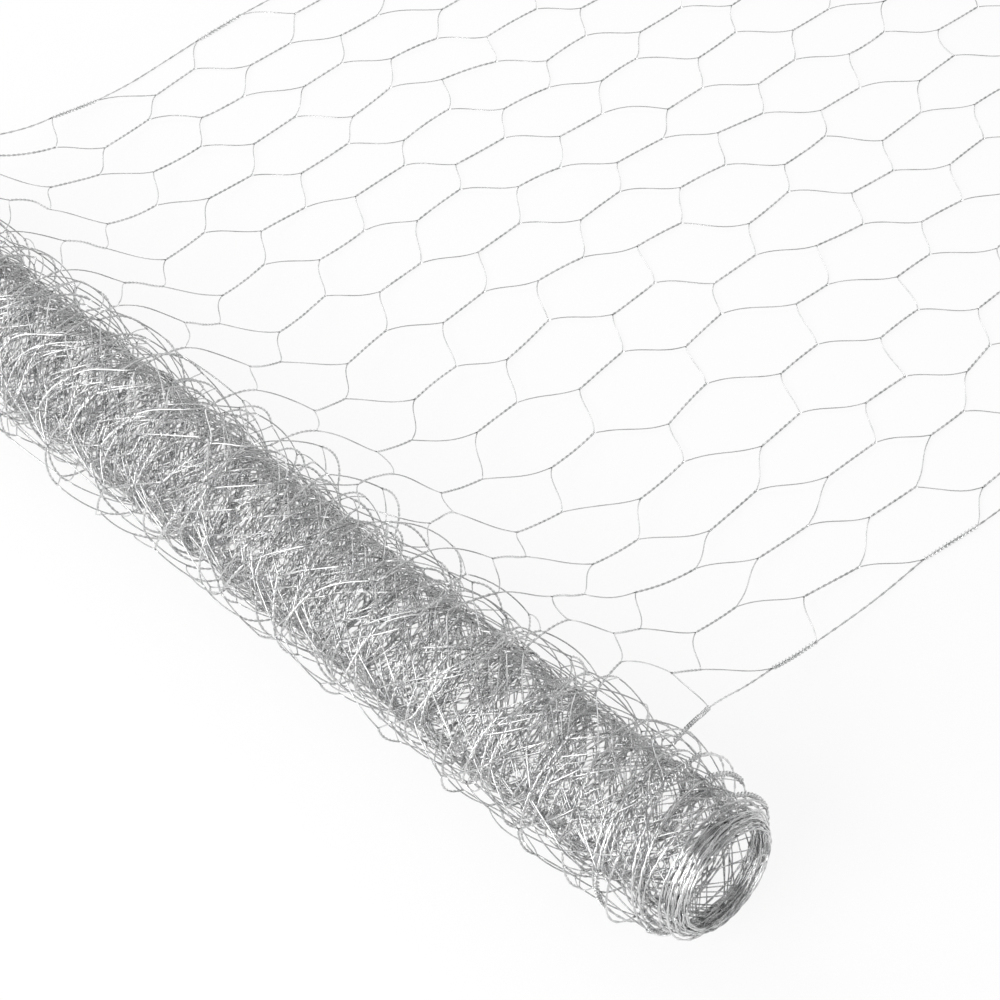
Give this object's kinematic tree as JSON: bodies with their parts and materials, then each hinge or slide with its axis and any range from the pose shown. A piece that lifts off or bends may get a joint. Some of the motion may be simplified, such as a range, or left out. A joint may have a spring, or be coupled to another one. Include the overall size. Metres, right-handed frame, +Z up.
{
  "type": "roll of chicken wire",
  "caption": "Lying roll of galvanised hexagonal wire netting with an open bore, its free end coming off the top and laid out flat on the floor.",
  "frame": {"origin": "middle of the whole part in plan, on the floor", "axes": "+X along the roll's axis towards the end where the inner turns stand out, +Y the way the netting is laid out, +Z up"},
  "size_m": [0.384, 0.4793, 0.0531],
  "materials": {
    "galvanised_wire": "bright zinc-coated drawn wire, slightly uneven"
  },
  "bodies": {
    "root": {"wound_roll": "galvanised_wire", "netting_lead": "galvanised_wire", "netting_sheet": "galvanised_wire"}
  },
  "joints": []
}
